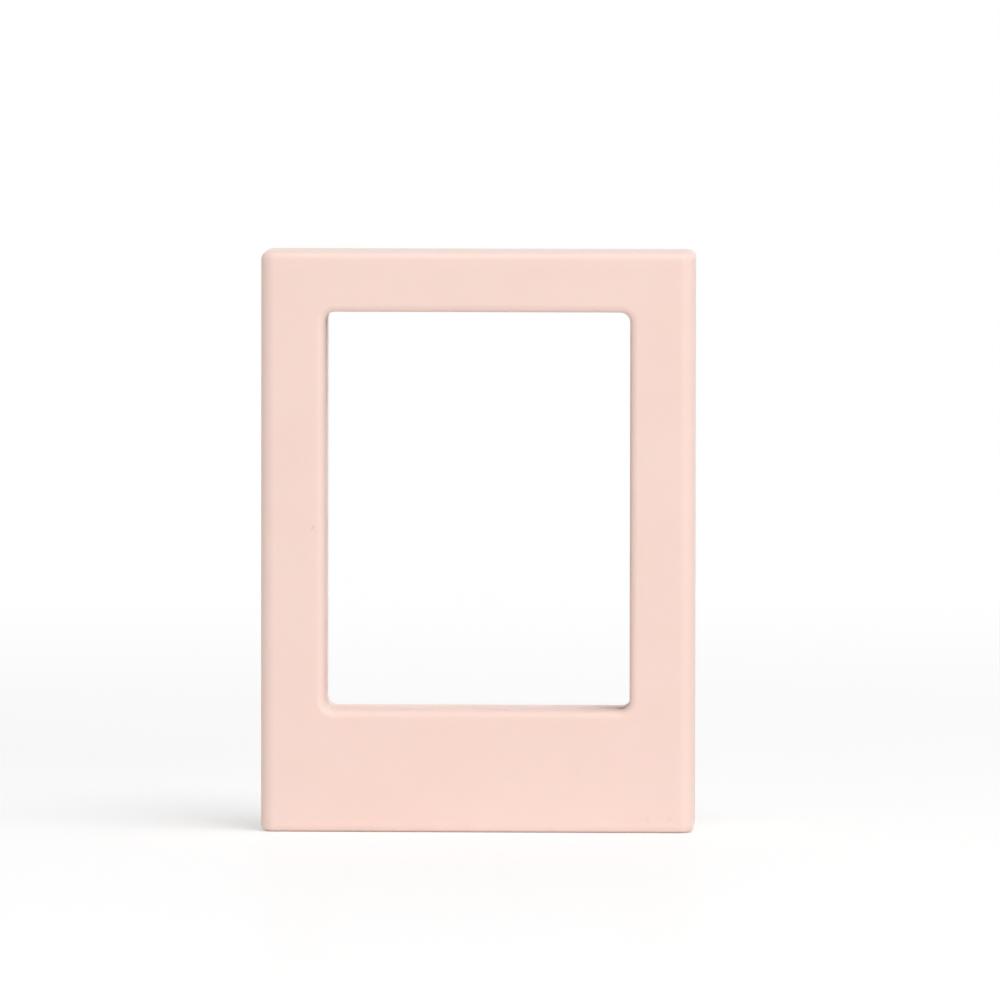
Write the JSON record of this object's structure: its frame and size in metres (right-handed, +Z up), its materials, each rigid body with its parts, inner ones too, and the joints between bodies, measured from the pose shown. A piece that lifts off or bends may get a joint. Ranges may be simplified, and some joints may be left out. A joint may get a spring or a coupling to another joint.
{
  "type": "magnetic photo frame",
  "caption": "Upright desk frame for a small print, with a clear window and a deep lower border; magnets hold its hollow front and rear halves together, and it stands on its base.",
  "frame": {"origin": "centre of the base, on the parting line of the two halves, where the frame stands", "axes": "+Z up, -Y out of the front face, +X to the right as seen from the front"},
  "size_m": [0.069, 0.016, 0.0925],
  "materials": {
    "shell_plastic": "satin",
    "liner_plastic": "matte",
    "clear_pane": "polished",
    "magnet_plating": "polished"
  },
  "bodies": {
    "rear_half": {"rear_shell": "shell_plastic", "rear_liner": "liner_plastic", "rear_pane": "clear_pane", "rear_magnet_top_left": "magnet_plating", "rear_magnet_top_right": "magnet_plating", "rear_magnet_bottom_left": "magnet_plating", "rear_magnet_bottom_right": "magnet_plating"},
    "front_half": {"front_shell": "shell_plastic", "front_liner": "liner_plastic", "front_pane": "clear_pane", "front_magnet_top_left": "magnet_plating", "front_magnet_top_right": "magnet_plating", "front_magnet_bottom_left": "magnet_plating", "front_magnet_bottom_right": "magnet_plating"}
  },
  "joints": [
    {"name": "front_half_pull", "type": "slide", "parent": "rear_half", "child": "front_half", "axis": [0, -1, 0], "range_m": [0, 0.04]}
  ]
}
